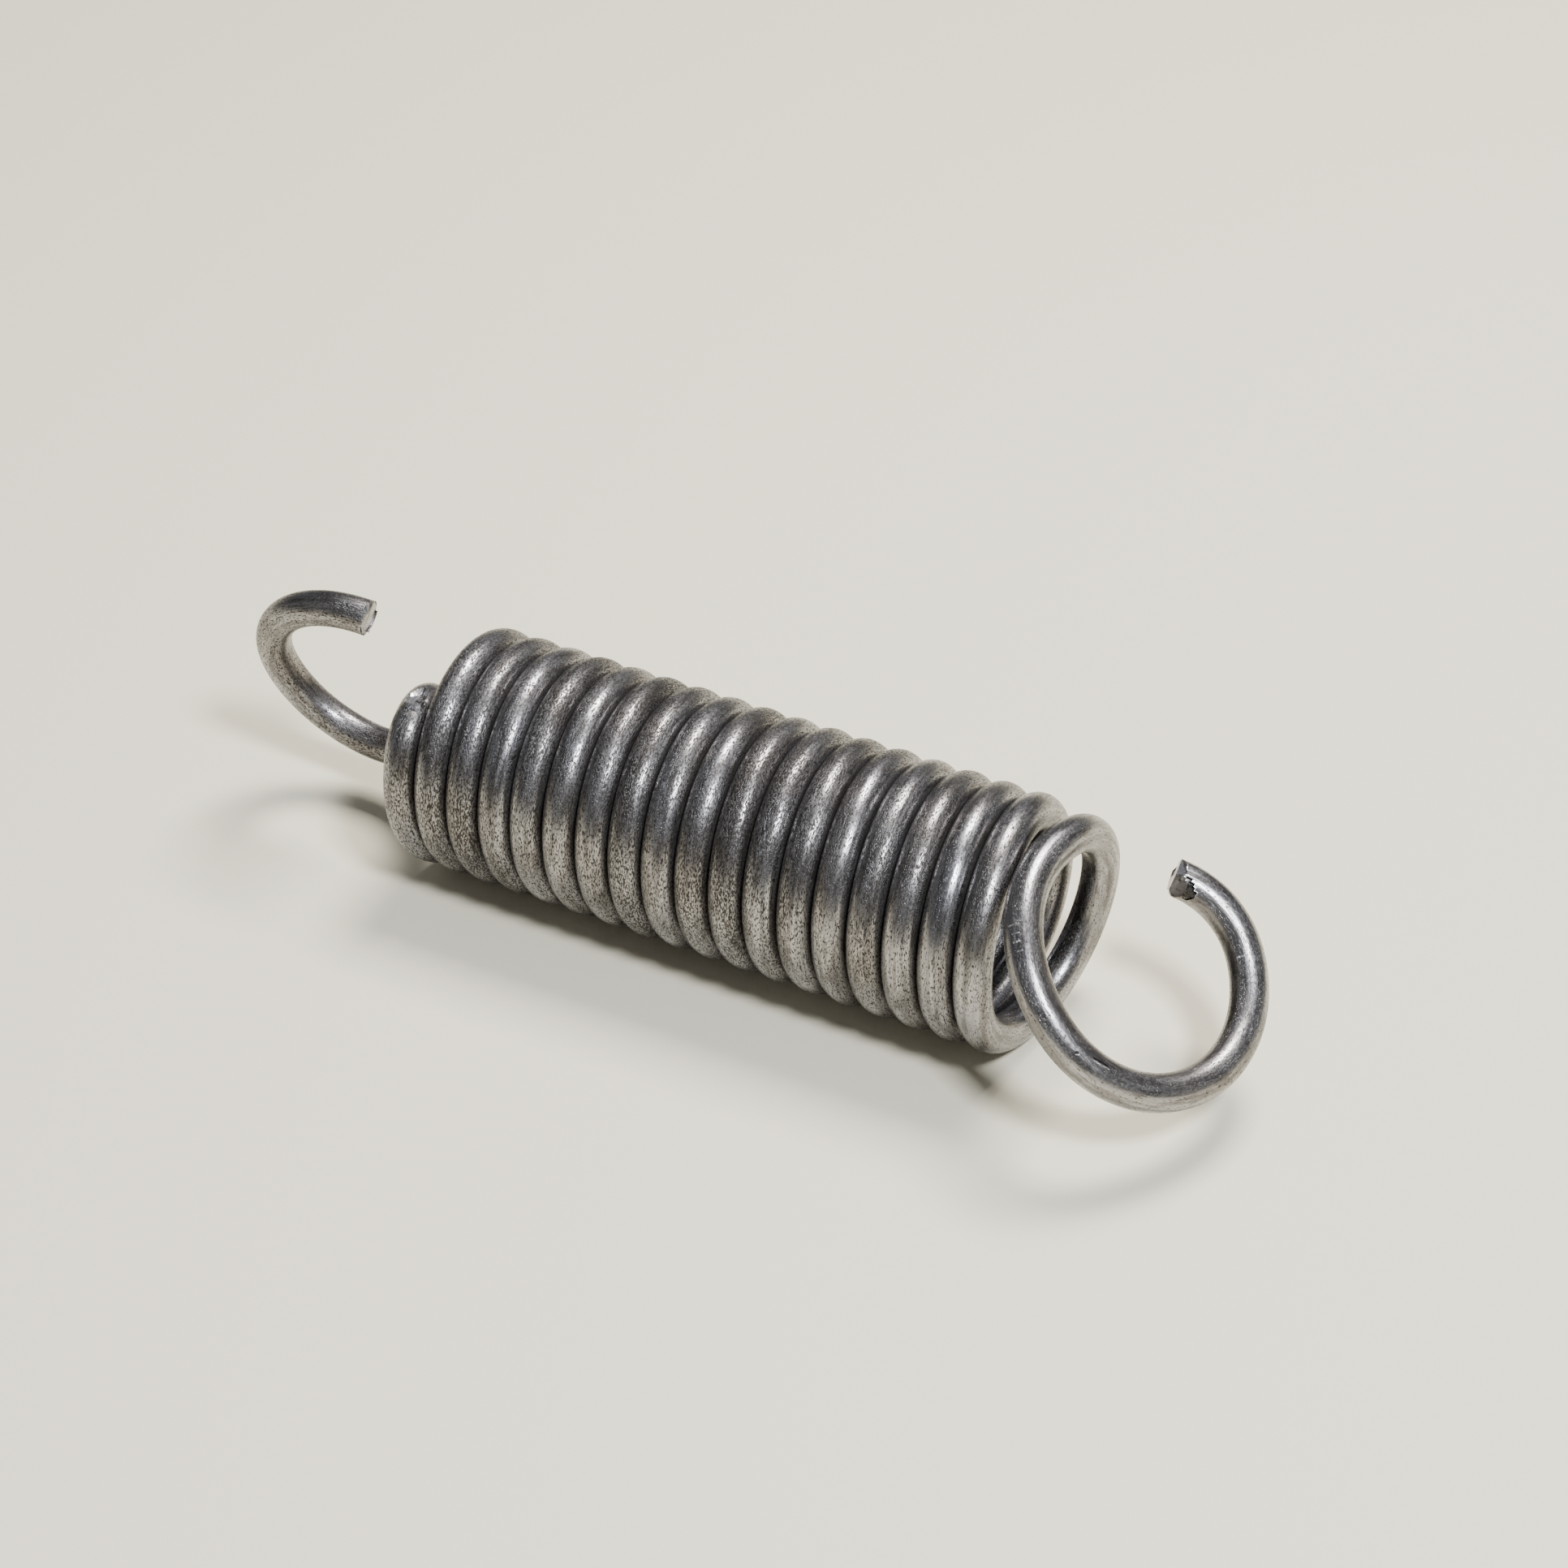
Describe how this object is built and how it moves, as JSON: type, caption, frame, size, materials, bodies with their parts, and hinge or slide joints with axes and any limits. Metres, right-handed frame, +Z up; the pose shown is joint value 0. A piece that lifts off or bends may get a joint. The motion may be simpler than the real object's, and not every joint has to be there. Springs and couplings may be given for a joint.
{
  "type": "extension spring",
  "caption": "Close-wound extension spring of round steel wire, with an open hook bent from each end.",
  "frame": {"origin": "on the coil's axis, half way along the coil; the spring lies on its side and its lowest points are 6.9 mm below the origin", "axes": "+X along the coil's axis towards the hook whose end turn stands open, +Z up from the surface the spring lies on, +Y completes a right-handed frame"},
  "size_m": [0.0612, 0.0159, 0.0154],
  "materials": {
    "spring": "bare drawn steel wire, semi-gloss, with fine drawing streaks and dark specks"
  },
  "bodies": {
    "root": {"spring": "spring"}
  },
  "joints": []
}
